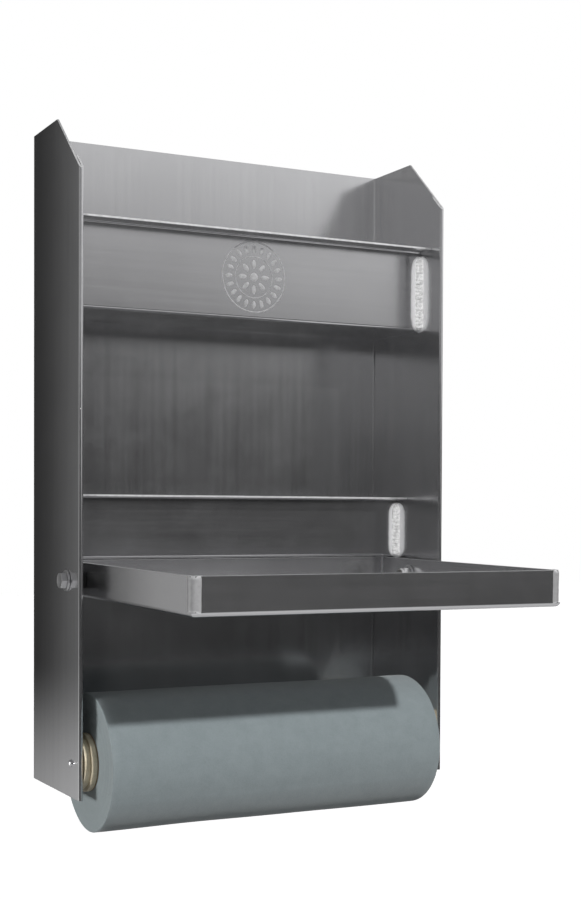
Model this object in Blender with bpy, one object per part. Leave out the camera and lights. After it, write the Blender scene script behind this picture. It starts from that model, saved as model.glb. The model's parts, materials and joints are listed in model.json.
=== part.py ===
"""Wall-mounted garage organiser in folded sheet aluminium, with a tray that folds up and a towel roll.

Frame: metres. The origin is the centre of the cabinet's rear face, which lies against the wall.
+X is to the right for someone who faces the cabinet, +Y goes into the wall and +Z is up.
Depths are stated from the front edge of the side panels, and heights from their bottom edge.
"""

import math

import bmesh
import bpy
from mathutils import Matrix, Vector

MM = 0.001

# Cabinet shell
WIDTH = 321 * MM
DEPTH = 108 * MM
HEIGHT = 514 * MM
SHEET = 1.6 * MM
BEND_INNER = 1.6 * MM
FIT_GAP = 0.3 * MM
WELD_GAP = 0.15 * MM
HEM_DEPTH = 13 * MM
HEM_GAP = 0.4 * MM
PEAK_FROM_FRONT = 50 * MM
TIP_HEIGHT = 467 * MM

# Bins
LIP_DEPTH = 17 * MM
TOP_BIN_FRONT = 33 * MM
TOP_BIN_BOTTOM = 369.7 * MM
TOP_BIN_LIP = 437.3 * MM
MID_BIN_FRONT = 67.5 * MM
MID_BIN_BOTTOM = 177.2 * MM
MID_BIN_LIP = 228.2 * MM
BEAD_LEG = 6.5 * MM
BEAD_HOLLOW = 0.24
BEAD_END_GAP = 2.5 * MM
BIN_BACK_GAP = 1.1 * MM

# Tray and its pivot
TRAY_SIDE_GAP = 13.5 * MM
TRAY_FRONT = -169.5 * MM
TRAY_BACK = 71 * MM
TRAY_WALL_HEIGHT = 26.6 * MM
TRAY_CORNER_NOTCH = 2.5 * MM
TRAY_DROOP_DEG = 0.8
PIVOT_DEPTH = 26.5 * MM
PIVOT_HEIGHT = 162.7 * MM

# Pivot hardware, quarter inch
BOLT_RADIUS = 3.175 * MM
BOLT_LENGTH = 30.5 * MM
BOLT_TIP_CHAMFER = 0.8 * MM
BOLT_HOLE_RADIUS = 3.5 * MM
HEX_ACROSS_FLATS = 11.1 * MM
BOLT_HEAD_HEIGHT = 4.4 * MM
WASHER_RADIUS = 7.9 * MM
WASHER_THICKNESS = 1.5 * MM
SPACER_RADIUS = 6.35 * MM
NUT_HEIGHT = 7.9 * MM
NUT_INSERT_RADIUS = 4.6 * MM
NUT_INSERT_HEIGHT = 2.2 * MM

# Towel rod and roll
ROD_DEPTH = 16.8 * MM
ROD_HEIGHT = 26 * MM
PIN_RADIUS = 2.4 * MM
PIN_HOLE_RADIUS = 2.7 * MM
PIN_PROUD = 2.4 * MM
PIN_HEAD_RADIUS = 6 * MM
PIN_HEAD_THICKNESS = 1.6 * MM
HUB_FLANGE_RADIUS = 20 * MM
HUB_COLLAR_RADIUS = 22 * MM
HUB_GROOVE_RADIUS = 17.6 * MM
HUB_SPIGOT_RADIUS = 19.2 * MM
HUB_FLANGE_END = 4.2 * MM
HUB_GROOVE_END = 5.0 * MM
HUB_COLLAR_END = 9.0 * MM
HUB_SPIGOT_END = 32 * MM
HUB_WEB_END = 12.5 * MM
OUTER_TUBE_RADIUS = 12.7 * MM
INNER_TUBE_RADIUS = 10.8 * MM
TUBE_WALL = 1.6 * MM
OUTER_TUBE_END = 215 * MM
INNER_TUBE_START = 110 * MM
SPRING_RADIUS = 8 * MM
SPRING_WIRE_RADIUS = 0.6 * MM
SPRING_TURNS = 13
CORE_INNER_RADIUS = 19.6 * MM
CORE_OUTER_RADIUS = 21.4 * MM
ROLL_RADIUS = 52.7 * MM
ROLL_START = 13.3 * MM
ROLL_LENGTH = 283 * MM

ROUND_SEGMENTS = 32
ROLL_SEGMENTS = 96
QUARTER_SHARES = (0, 0.25, 0.5, 0.75, 1)
CUTTER_OVERRUN = 2 * MM
SAME_POINT = 0.001 * MM
SHARP_EDGE_DEG = 35

ALUMINIUM = ("aluminium_sheet", (0.62, 0.62, 0.64), 0.32, 1.0)
WELD_METAL = ("weld_bead", (0.80, 0.80, 0.82), 0.38, 1.0)
ZINC_STEEL = ("zinc_steel", (0.66, 0.66, 0.68), 0.30, 1.0)
SPACER_NYLON = ("black_nylon", (0.03, 0.03, 0.03), 0.50, 0.0)
INSERT_NYLON = ("natural_nylon", (0.75, 0.73, 0.66), 0.50, 0.0)
HUB_PLASTIC = ("almond_plastic", (0.60, 0.53, 0.40), 0.50, 0.0)
ROD_PLASTIC = ("rod_plastic", (0.66, 0.60, 0.48), 0.45, 0.0)
SPRING_STEEL = ("spring_steel", (0.45, 0.45, 0.47), 0.35, 1.0)
CARDBOARD = ("cardboard", (0.45, 0.32, 0.20), 0.90, 0.0)
TOWEL_PAPER = ("towel_paper", (0.30, 0.39, 0.43), 0.90, 0.0)


def clear_scene():
    for obj in list(bpy.data.objects):
        bpy.data.objects.remove(obj, do_unlink=True)


def from_left(distance):
    """X of a point this far from the left side's outer face."""
    return distance - WIDTH / 2


def behind_front(distance):
    """Y of a point this far behind the front edge of the side panels."""
    return distance - DEPTH


def above_bottom(distance):
    """Z of a point this far above the bottom edge."""
    return distance - HEIGHT / 2


def material(spec):
    name, colour, roughness, metallic = spec
    found = bpy.data.materials.get(name)
    if found:
        return found
    made = bpy.data.materials.new(name)
    made.use_nodes = True
    shader = made.node_tree.nodes["Principled BSDF"]
    shader.inputs["Base Color"].default_value = (*colour, 1.0)
    shader.inputs["Roughness"].default_value = roughness
    shader.inputs["Metallic"].default_value = metallic
    return made


def add_object(name, mesh_data, spec, location=(0, 0, 0)):
    """Makes an object from a bmesh, with its faces turned outwards."""
    bmesh.ops.recalc_face_normals(mesh_data, faces=mesh_data.faces)
    mesh = bpy.data.meshes.new(name)
    mesh_data.to_mesh(mesh)
    mesh_data.free()
    obj = bpy.data.objects.new(name, mesh)
    obj.location = location
    bpy.context.scene.collection.objects.link(obj)
    if spec:
        mesh.materials.append(material(spec))
    return obj


def shade_round(obj):
    obj.data.shade_smooth()
    obj.data.set_sharp_from_angle(angle=math.radians(SHARP_EDGE_DEG))


def make_cutter(obj):
    obj.hide_render = True
    obj.display_type = "WIRE"
    return obj


def cut(obj, cutter):
    change = obj.modifiers.new("cut_" + cutter.name, "BOOLEAN")
    change.operation = "DIFFERENCE"
    change.solver = "EXACT"
    change.object = make_cutter(cutter)


def join(obj, other):
    change = obj.modifiers.new("join_" + other.name, "BOOLEAN")
    change.operation = "UNION"
    change.solver = "EXACT"
    change.object = make_cutter(other)


def prism(corners, offset):
    """A bmesh with a flat outline of 3-D corners pushed out by offset."""
    made = bmesh.new()
    base = [made.verts.new(corner) for corner in corners]
    top = [made.verts.new(Vector(corner) + Vector(offset)) for corner in corners]
    made.faces.new(base)
    made.faces.new(list(reversed(top)))
    count = len(base)
    for index in range(count):
        after = (index + 1) % count
        made.faces.new((base[index], base[after], top[after], top[index]))
    return made


def box(low, high):
    corners = [
        (low[0], low[1], low[2]),
        (high[0], low[1], low[2]),
        (high[0], high[1], low[2]),
        (low[0], high[1], low[2]),
    ]
    return prism(corners, (0, 0, high[2] - low[2]))


def lathe(profile, segments=ROUND_SEGMENTS):
    """Turns (along, radius) pairs about the X axis. Zero radius is one point on the axis."""
    made = bmesh.new()
    rings = []
    for along, radius in profile:
        if radius == 0:
            rings.append([made.verts.new((along, 0, 0))])
            continue
        ring = []
        for index in range(segments):
            angle = math.tau * index / segments
            ring.append(made.verts.new((along, radius * math.cos(angle), radius * math.sin(angle))))
        rings.append(ring)
    pairs = list(zip(rings, rings[1:]))
    if profile[0][1] != 0:
        pairs.append((rings[-1], rings[0]))
    for near, far in pairs:
        bridge_rings(made, near, far, segments)
    return made


def bridge_rings(made, near, far, segments):
    for index in range(segments):
        after = (index + 1) % segments
        if len(near) == 1:
            made.faces.new((near[0], far[index], far[after]))
        elif len(far) == 1:
            made.faces.new((near[index], near[after], far[0]))
        else:
            made.faces.new((near[index], near[after], far[after], far[index]))


def hex_prism(start, end, across_flats):
    radius = across_flats / math.sqrt(3)
    corners = []
    for index in range(6):
        angle = math.tau * index / 6
        corners.append((start, radius * math.cos(angle), radius * math.sin(angle)))
    return prism(corners, (end - start, 0, 0))


def rounded_path(points, radius, steps=4):
    """A 2-D polyline whose inner corners are replaced by arcs of this radius."""
    path = [Vector(points[0])]
    for before, corner, after in zip(points, points[1:], points[2:]):
        before, corner, after = Vector(before), Vector(corner), Vector(after)
        inward = (before - corner).normalized()
        outward = (after - corner).normalized()
        half_angle = inward.angle(outward) / 2
        reach = radius / math.tan(half_angle)
        centre = corner + (inward + outward).normalized() * radius / math.sin(half_angle)
        start = corner + inward * reach - centre
        end = corner + outward * reach - centre
        turn = start.angle_signed(end)
        for step in range(steps + 1):
            path.append(centre + Matrix.Rotation(-turn * step / steps, 2) @ start)
    path.append(Vector(points[-1]))
    kept = [path[0]]
    for point in path[1:]:
        if (point - kept[-1]).length > SAME_POINT:
            kept.append(point)
    return kept


def sheet_outline(path):
    """The outline of a bent sheet whose mid-line is this path, with its corners already rounded."""
    left, right = [], []
    last = len(path) - 1
    for index, point in enumerate(path):
        arriving = (point - path[index - 1]).normalized() if index else None
        leaving = (path[index + 1] - point).normalized() if index < last else None
        arriving = arriving or leaving
        leaving = leaving or arriving
        along = (arriving + leaving).normalized()
        side = Vector((-along.y, along.x)) * (SHEET / 2)
        spread = along.dot(leaving)
        left.append(point + side / spread)
        right.append(point - side / spread)
    return left + list(reversed(right))


def shell_path():
    """The mid-line of the shell in plan: a hem, the left side, the back, the right side and a hem."""
    half = WIDTH / 2 - SHEET / 2
    hem = half - SHEET - HEM_GAP
    front = behind_front(SHEET / 2)
    hem_end = behind_front(HEM_DEPTH)
    back = -SHEET / 2
    hem_points = [(-hem, hem_end), (-hem, front), (-half, front), (-half, back / 2)]
    left_hem = rounded_path(hem_points, (half - hem) / 2)
    left_hem.pop()
    side_end = left_hem[-1].y
    shell_points = [(-half, side_end), (-half, back), (half, back), (half, side_end)]
    corners = rounded_path(shell_points, BEND_INNER + SHEET / 2)
    right_hem = [Vector((-point.x, point.y)) for point in reversed(left_hem)]
    return left_hem + corners[1:-1] + right_hem


def cut_through_sides(obj, name, radius, centre):
    """Bores one hole through everything on a left-to-right axis."""
    rod = [(-WIDTH, 0), (-WIDTH, radius), (WIDTH, radius), (WIDTH, 0)]
    cut(obj, add_object(name, lathe(rod), None, centre))


def build_shell():
    outline = sheet_outline(shell_path())
    bottom = above_bottom(0)
    made = prism([(x, y, bottom) for x, y in outline], (0, 0, HEIGHT))
    shell = add_object("cabinet_shell", made, ALUMINIUM)
    margin = 20 * MM
    slope = (HEIGHT - TIP_HEIGHT) / PEAK_FROM_FRONT
    chamfer = [
        (-WIDTH, behind_front(PEAK_FROM_FRONT + margin), above_bottom(HEIGHT + margin * slope)),
        (-WIDTH, behind_front(-margin), above_bottom(TIP_HEIGHT - margin * slope)),
        (-WIDTH, behind_front(-margin), above_bottom(HEIGHT + margin * slope)),
    ]
    cut(shell, add_object("chamfer_cutter", prism(chamfer, (2 * WIDTH, 0, 0)), None))
    cut_through_sides(shell, "pivot_hole_cutter", BOLT_HOLE_RADIUS, pivot_point())
    cut_through_sides(shell, "pin_hole_cutter", PIN_HOLE_RADIUS, rod_point())


def pivot_point():
    return (0, behind_front(PIVOT_DEPTH), above_bottom(PIVOT_HEIGHT))


def rod_point():
    return (0, behind_front(ROD_DEPTH), above_bottom(ROD_HEIGHT))


def build_bin(name, front, bottom, lip):
    """One bent sheet: a lip that points forward, a front plate and a floor that runs to the back."""
    mid = SHEET / 2
    points = [
        (behind_front(front - LIP_DEPTH), above_bottom(lip) - mid),
        (behind_front(front) + mid, above_bottom(lip) - mid),
        (behind_front(front) + mid, above_bottom(bottom) + mid),
        (-SHEET - BIN_BACK_GAP, above_bottom(bottom) + mid),
    ]
    outline = sheet_outline(rounded_path(points, BEND_INNER / 2 + mid))
    half = WIDTH / 2 - SHEET - FIT_GAP
    add_object(name, prism([(-half, y, z) for y, z in outline], (2 * half, 0, 0)), ALUMINIUM)


def build_bead(name, side, front, bottom, top):
    """A weld bead in the corner between a bin's front plate and a side panel."""
    wall = side * (WIDTH / 2 - SHEET - WELD_GAP)
    plate = behind_front(front) - WELD_GAP
    outline = [(wall, plate)]
    for share in QUARTER_SHARES:
        angle = share * math.pi / 2
        reach = BEAD_LEG * (1 - BEAD_HOLLOW * math.sin(2 * angle))
        outline.append((wall - side * reach * math.cos(angle), plate - reach * math.sin(angle)))
    low = above_bottom(bottom)
    add_object(name, prism([(x, y, low) for x, y in outline], (0, 0, top - bottom)), WELD_METAL)


def build_bins():
    bins = (
        ("top_bin", TOP_BIN_FRONT, TOP_BIN_BOTTOM, TOP_BIN_LIP),
        ("mid_bin", MID_BIN_FRONT, MID_BIN_BOTTOM, MID_BIN_LIP),
    )
    for name, front, bottom, lip in bins:
        build_bin(name, front, bottom, lip)
        low = bottom + BEAD_END_GAP
        high = lip - SHEET - BEAD_END_GAP
        build_bead(name + "_weld_left", -1, front, low, high)
        build_bead(name + "_weld_right", 1, front, low, high)


def place_on_tray(obj):
    """Puts an object that was made about the pivot where the lowered tray is."""
    obj.location = pivot_point()
    obj.rotation_euler = (math.radians(TRAY_DROOP_DEG), 0, 0)
    return obj


def rounded_tub(half_width, front, back, bottom, top, radius):
    """A box whose four bottom edges are rounded."""
    made = box((-half_width, front, bottom), (half_width, back, top))
    low_edges = [edge for edge in made.edges if all(vert.co.z < bottom + SAME_POINT for vert in edge.verts)]
    bmesh.ops.bevel(made, geom=low_edges, offset=radius, segments=3, profile=0.5, affect="EDGES")
    return made


def build_tray():
    half = WIDTH / 2 - TRAY_SIDE_GAP
    front = TRAY_FRONT - PIVOT_DEPTH
    back = TRAY_BACK - PIVOT_DEPTH
    low = -TRAY_WALL_HEIGHT / 2
    high = TRAY_WALL_HEIGHT / 2
    tub = rounded_tub(half, front, back, low, high, BEND_INNER + SHEET)
    tray = place_on_tray(add_object("tray_pan", tub, ALUMINIUM))
    hollow = rounded_tub(
        half - SHEET, front + SHEET, back - SHEET, low + SHEET, high + 5 * SHEET, BEND_INNER
    )
    cut(tray, place_on_tray(add_object("tray_hollow_cutter", hollow, None)))
    cut_through_sides(tray, "tray_hole_cutter", BOLT_HOLE_RADIUS, pivot_point())
    notch_low = low + BEND_INNER + SHEET
    corners = (
        ("front_left", -1, front, 1),
        ("front_right", 1, front, 1),
        ("back_left", -1, back, -1),
        ("back_right", 1, back, -1),
    )
    for name, side, end, inward in corners:
        cut_corner_notch(tray, name, side * half, end, -side, inward, notch_low)
        build_corner_weld(name, side * half, end, -side, inward, notch_low + FIT_GAP, high)


def cut_corner_notch(tray, name, x, y, x_inward, y_inward, low):
    reach = TRAY_CORNER_NOTCH
    xs = sorted((x - x_inward * reach, x + x_inward * reach))
    ys = sorted((y - y_inward * reach, y + y_inward * reach))
    notch = box((xs[0], ys[0], low), (xs[1], ys[1], TRAY_WALL_HEIGHT))
    cut(tray, place_on_tray(add_object("notch_cutter_" + name, notch, None)))


def build_corner_weld(name, x, y, x_inward, y_inward, low, high):
    """A dressed weld that fills the open corner between two tray walls."""
    reach = TRAY_CORNER_NOTCH - WELD_GAP
    outline = []
    for share in QUARTER_SHARES:
        angle = share * math.pi / 2
        outline.append((reach * (1 - math.sin(angle)), reach * (1 - math.cos(angle))))
    outline += [(SHEET, reach), (SHEET, SHEET), (reach, SHEET)]
    corners = [(x + x_inward * across, y + y_inward * along, low) for along, across in outline]
    weld = add_object("tray_weld_" + name, prism(corners, (0, 0, high - low)), WELD_METAL)
    place_on_tray(weld)


def build_ring(name, start, end, inner, outer, spec, centre):
    profile = [(start, inner), (start, outer), (end, outer), (end, inner)]
    ring = add_object(name, lathe(profile), spec, centre)
    shade_round(ring)
    return ring


def build_bolt(name, side, face):
    """A hex bolt from outside the panel; face is the distance of its head's bearing face."""
    head = hex_prism(side * face, side * (face + BOLT_HEAD_HEIGHT), HEX_ACROSS_FLATS)
    bolt = add_object(name, head, ZINC_STEEL, pivot_point())
    tip = face - BOLT_LENGTH
    profile = [
        (side * (face + BOLT_HEAD_HEIGHT / 2), 0),
        (side * (face + BOLT_HEAD_HEIGHT / 2), BOLT_RADIUS),
        (side * (tip + BOLT_TIP_CHAMFER), BOLT_RADIUS),
        (side * tip, BOLT_RADIUS - BOLT_TIP_CHAMFER),
        (side * tip, 0),
    ]
    join(bolt, add_object(name + "_shank", lathe(profile), None, pivot_point()))


def build_nut(name, side, face):
    """A lock nut inside the tray; face is the distance of its bearing face."""
    end = face - NUT_HEIGHT
    nut = add_object(name, hex_prism(side * end, side * face, HEX_ACROSS_FLATS), ZINC_STEEL, pivot_point())
    recess = end + NUT_INSERT_HEIGHT + FIT_GAP
    bore = [
        (side * (end - CUTTER_OVERRUN), 0),
        (side * (end - CUTTER_OVERRUN), NUT_INSERT_RADIUS + FIT_GAP),
        (side * recess, NUT_INSERT_RADIUS + FIT_GAP),
        (side * recess, BOLT_HOLE_RADIUS),
        (side * (face + CUTTER_OVERRUN), BOLT_HOLE_RADIUS),
        (side * (face + CUTTER_OVERRUN), 0),
    ]
    cut(nut, add_object(name + "_bore_cutter", lathe(bore), None, pivot_point()))


def build_pivot(side_name, side):
    """The bolt, washers, spacer, lock nut and its insert at one side of the tray."""
    centre = pivot_point()
    gap = FIT_GAP / 2
    outer_face = WIDTH / 2
    tray_outer = WIDTH / 2 - TRAY_SIDE_GAP
    tray_inner = tray_outer - SHEET
    washer_top = outer_face + gap + WASHER_THICKNESS
    inner_washer = tray_inner - gap - WASHER_THICKNESS
    nut_face = inner_washer - gap
    nut_end = nut_face - NUT_HEIGHT

    build_bolt("pivot_bolt_" + side_name, side, washer_top + gap)
    build_ring(
        "outer_washer_" + side_name, side * (outer_face + gap), side * washer_top,
        BOLT_HOLE_RADIUS, WASHER_RADIUS, ZINC_STEEL, centre,
    )
    build_ring(
        "pivot_spacer_" + side_name, side * (tray_outer + FIT_GAP), side * (outer_face - SHEET - FIT_GAP),
        BOLT_HOLE_RADIUS, SPACER_RADIUS, SPACER_NYLON, centre,
    )
    build_ring(
        "inner_washer_" + side_name, side * inner_washer, side * (tray_inner - gap),
        BOLT_HOLE_RADIUS, WASHER_RADIUS, ZINC_STEEL, centre,
    )
    build_nut("lock_nut_" + side_name, side, nut_face)
    build_ring(
        "nut_insert_" + side_name, side * nut_end, side * (nut_end + NUT_INSERT_HEIGHT),
        BOLT_HOLE_RADIUS, NUT_INSERT_RADIUS, INSERT_NYLON, centre,
    )


def hub_x(side, distance):
    """X of a point this far in from the outer face of a hub's flange, on the left (-1) or right (1)."""
    flange_face = WIDTH / 2 - 2 * SHEET - HEM_GAP - FIT_GAP
    return side * (flange_face - distance)


def build_hub(side_name, side):
    profile = [
        (hub_x(side, 0), PIN_HOLE_RADIUS),
        (hub_x(side, 0), HUB_FLANGE_RADIUS),
        (hub_x(side, HUB_FLANGE_END), HUB_FLANGE_RADIUS),
        (hub_x(side, HUB_FLANGE_END), HUB_GROOVE_RADIUS),
        (hub_x(side, HUB_GROOVE_END), HUB_GROOVE_RADIUS),
        (hub_x(side, HUB_GROOVE_END), HUB_COLLAR_RADIUS),
        (hub_x(side, HUB_COLLAR_END), HUB_COLLAR_RADIUS),
        (hub_x(side, HUB_COLLAR_END), HUB_SPIGOT_RADIUS),
        (hub_x(side, HUB_SPIGOT_END), HUB_SPIGOT_RADIUS),
        (hub_x(side, HUB_SPIGOT_END), OUTER_TUBE_RADIUS + FIT_GAP),
        (hub_x(side, HUB_WEB_END), OUTER_TUBE_RADIUS + FIT_GAP),
        (hub_x(side, HUB_WEB_END), PIN_HOLE_RADIUS),
    ]
    shade_round(add_object("rod_hub_" + side_name, lathe(profile), HUB_PLASTIC, rod_point()))


def build_pin(side_name, side):
    """A domed metal pin, with a head inside the rod, that sits in a hole of the side panel."""
    tip = side * (WIDTH / 2 + PIN_PROUD)
    shoulder = side * (WIDTH / 2 + PIN_PROUD / 2)
    head = hub_x(side, HUB_WEB_END + FIT_GAP)
    head_end = hub_x(side, HUB_WEB_END + FIT_GAP + PIN_HEAD_THICKNESS)
    profile = [
        (tip, 0),
        (tip - side * 0.15 * PIN_PROUD, 0.6 * PIN_RADIUS),
        (shoulder, PIN_RADIUS),
        (head, PIN_RADIUS),
        (head, PIN_HEAD_RADIUS),
        (head_end, PIN_HEAD_RADIUS),
        (head_end, 0),
    ]
    shade_round(add_object("rod_pin_" + side_name, lathe(profile), ZINC_STEEL, rod_point()))


def build_rod():
    """A sprung telescopic rod: an outer tube on the left hub, an inner tube on the right hub."""
    for side_name, side in (("left", -1), ("right", 1)):
        build_hub(side_name, side)
        build_pin(side_name, side)
    tube_start = HUB_WEB_END + FIT_GAP
    build_ring(
        "rod_outer_tube", hub_x(-1, tube_start), from_left(OUTER_TUBE_END),
        OUTER_TUBE_RADIUS - TUBE_WALL, OUTER_TUBE_RADIUS, ROD_PLASTIC, rod_point(),
    )
    start = from_left(INNER_TUBE_START)
    end = hub_x(1, tube_start)
    cup = [
        (start, 0),
        (start, INNER_TUBE_RADIUS),
        (end, INNER_TUBE_RADIUS),
        (end, INNER_TUBE_RADIUS - TUBE_WALL),
        (start + TUBE_WALL, INNER_TUBE_RADIUS - TUBE_WALL),
        (start + TUBE_WALL, 0),
    ]
    shade_round(add_object("rod_inner_tube", lathe(cup), ROD_PLASTIC, rod_point()))
    build_spring(hub_x(-1, tube_start), start)


def build_spring(left_end, right_end):
    """A coil of round wire, one swept tube along a helix about the rod's axis."""
    sides = 5
    steps_per_turn = 12
    reach = SPRING_WIRE_RADIUS + FIT_GAP
    length = right_end - left_end - 2 * reach
    steps = SPRING_TURNS * steps_per_turn
    made = bmesh.new()
    rings = []
    for step in range(steps + 1):
        angle = math.tau * step / steps_per_turn
        along = left_end + reach + length * step / steps
        ring = []
        for side in range(sides):
            turn = math.tau * side / sides
            radius = SPRING_RADIUS + SPRING_WIRE_RADIUS * math.cos(turn)
            x = along + SPRING_WIRE_RADIUS * math.sin(turn)
            ring.append(made.verts.new((x, radius * math.cos(angle), radius * math.sin(angle))))
        rings.append(ring)
    for near, far in zip(rings, rings[1:]):
        bridge_rings(made, near, far, sides)
    made.faces.new(rings[0])
    made.faces.new(rings[-1])
    shade_round(add_object("rod_spring", made, SPRING_STEEL, rod_point()))


def build_roll():
    start = from_left(ROLL_START)
    end = start + ROLL_LENGTH
    build_ring("cardboard_core", start, end, CORE_INNER_RADIUS, CORE_OUTER_RADIUS, CARDBOARD, rod_point())
    inner = CORE_OUTER_RADIUS + FIT_GAP
    profile = [(start, inner), (start, ROLL_RADIUS), (end, ROLL_RADIUS), (end, inner)]
    roll = add_object("paper_towel_roll", lathe(profile, ROLL_SEGMENTS), TOWEL_PAPER, rod_point())
    shade_round(roll)


def main():
    clear_scene()
    build_shell()
    build_bins()
    build_tray()
    build_pivot("left", -1)
    build_pivot("right", 1)
    build_rod()
    build_roll()


main()
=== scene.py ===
"""The looks of a wall-mounted garage organiser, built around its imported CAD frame.

Metres, in the CAD's frame: the origin is the centre of the rear face, +X right, +Y into the wall, +Z up.
Each visible CAD node is replaced by a detailed piece that rides on the same body.
"""

import json
import math
import random

import bmesh
import bpy
from mathutils import Matrix, Vector


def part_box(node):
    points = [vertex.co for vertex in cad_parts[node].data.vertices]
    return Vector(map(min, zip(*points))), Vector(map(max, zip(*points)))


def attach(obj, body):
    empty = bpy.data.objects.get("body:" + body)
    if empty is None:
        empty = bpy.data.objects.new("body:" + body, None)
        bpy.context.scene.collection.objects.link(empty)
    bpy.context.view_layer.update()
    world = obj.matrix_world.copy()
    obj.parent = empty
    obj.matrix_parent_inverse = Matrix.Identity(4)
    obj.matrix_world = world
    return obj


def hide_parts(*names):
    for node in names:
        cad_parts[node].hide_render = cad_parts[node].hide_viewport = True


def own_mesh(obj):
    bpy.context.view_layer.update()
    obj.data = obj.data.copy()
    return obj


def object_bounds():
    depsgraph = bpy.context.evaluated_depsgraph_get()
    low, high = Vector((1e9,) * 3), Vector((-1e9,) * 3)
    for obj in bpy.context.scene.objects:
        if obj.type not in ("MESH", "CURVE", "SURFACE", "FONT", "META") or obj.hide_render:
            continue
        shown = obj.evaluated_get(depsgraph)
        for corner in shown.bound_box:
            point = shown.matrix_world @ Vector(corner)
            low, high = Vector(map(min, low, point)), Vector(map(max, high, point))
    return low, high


MM = 0.001
SIDES = (("left", -1), ("right", 1))
BINS = ("top_bin", "mid_bin")

# Sheet metal
SHEET = 1.6 * MM
BEND_INNER = 1.6 * MM
BIN_BEND_INNER = 0.8 * MM
HEM_DEPTH = 13 * MM
HEM_GAP = 0.4 * MM
PEAK_FROM_FRONT = 50 * MM
TIP_BELOW_TOP = 47 * MM
LIP_DEPTH = 17 * MM
EDGE_ROUND = 0.25 * MM
BEND_STEPS = 6
CUTTER_REACH = 200 * MM

# Bolts, nuts, pins and their holes
BOLT_HOLE_RADIUS = 3.5 * MM
BOLT_RADIUS = 3.175 * MM
BOLT_HEAD_HEIGHT = 4.4 * MM
BOLT_HEAD_DISH = 0.35 * MM
DISH_SHARE = 0.72
ACROSS_FLATS = 11.1 * MM
HEX_SEGMENTS = 72
CORNER_CHAMFER = math.radians(30)
THREAD_LENGTH = 16 * MM
THREAD_PITCH = 1.27 * MM
THREAD_DEPTH = 0.45 * MM
THREAD_STEPS_PER_TURN = 6
THREAD_SEGMENTS = 36
TIP_CHAMFER = 0.9 * MM
NUT_HEX_HEIGHT = 5.6 * MM
# (mm from the washer face, radius in mm): the collar beyond the hexagon, its mouth and the bore
NUT_COLLAR = (
    (5.6, 5.0), (6.9, 5.0), (7.7, 4.75), (7.9, 4.4), (7.9, 4.0), (7.4, 3.85), (7.4, 3.5), (0.3, 3.5),
    (0, 3.8),
)
PIN_HOLE_RADIUS = 2.7 * MM
PIN_RADIUS = 2.4 * MM
PIN_DOME = 1.7 * MM

# Share of the light that the sheet mirrors; a slight haze scatters the rest
CABINET_MIRROR = 0.983
TRAY_MIRROR = 0.945

ROUNDEL_RELIEF = 0.3 * MM

# Tray
TRAY_DROOP = math.radians(0.8)
TRAY_WALL_HEIGHT = 26.6 * MM
TRAY_BACK_FROM_PIVOT = 44.5 * MM
TRAY_FRONT_FROM_PIVOT = -196 * MM
TRAY_HALF_WIDTH = 147 * MM
CORNER_NOTCH = 2.5 * MM

# Rippled beads of the bins
BEAD_LEG = 5.4 * MM
BEAD_PITCH = 3.1 * MM
BEAD_SINK = 0.5 * MM
BEAD_STEPS_PER_RIPPLE = 7
BEAD_BELOW = 2.5 * MM
BEAD_SHORT = 1 * MM
BEAD_FOOT_TAPER = 3.2 * MM
BEAD_HEAD_TAPER = 7 * MM
RIPPLE_HEIGHT = 0.22
RIPPLE_CURVE = 0.55
LUMP_HEIGHT = 0.07

# Dressed welds of the tray's corners
WELD_SPAN = 7.5 * MM
WELD_ROUND = 4.2 * MM
WELD_FEATHER = 1.4 * MM
WELD_PROUD = 0.32 * MM
WELD_UNEVEN = 0.07 * MM
WELD_SUNK = 0.2 * MM
WELD_STEPS = 48

# Towel rod. The hub's half section is (mm inwards from its outer face, radius in mm): a face with a
# shallow ring in it, a flange, a groove, a collar, a tapered spigot, its bore and the pin's web.
HUB_SECTION = (
    (0, 3), (0, 14), (0.6, 15), (0.6, 18), (0, 19), (0, 20), (4.2, 20), (4.2, 19), (5, 19), (5, 22),
    (9, 22), (9, 19.2), (32, 18.9), (32, 13.1), (12.5, 13.1), (12.5, 3),
)
HUB_EDGE_ROUND = 0.55 * MM
SPRING_WIRE_RADIUS = 0.6 * MM
SPRING_TURNS = 13
SPRING_STEPS_PER_TURN = 24
SPRING_WIRE_SIDES = 8

# Towel roll
LAYER_RINGS = 26
ROLL_STEPS_ROUND = 144
ROLL_STEPS_ALONG = 48
TAIL_THICKNESS = 0.28 * MM
TAIL_ANGLE = math.radians(205)
CORE_INNER_RADIUS = 19.6 * MM
CORE_OUTER_RADIUS = 21.5 * MM
ROLL_BORE_RADIUS = 21.7 * MM
RIM_ROUND = 1.2 * MM
RIM_STEPS = 5

# Camera; the lens shift is in shares of the frame's longer side
CAMERA_PLACE = Vector((-0.52637, -1.10524, -0.04549))
CAMERA_YAW = math.radians(25.87)
CAMERA_PITCH = math.radians(-1.24)
CAMERA_ROLL = math.radians(0.19)
SENSOR_MM = 36
LENS_MM = 57.388
LENS_SHIFT = (0.075, 0.108)

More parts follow.
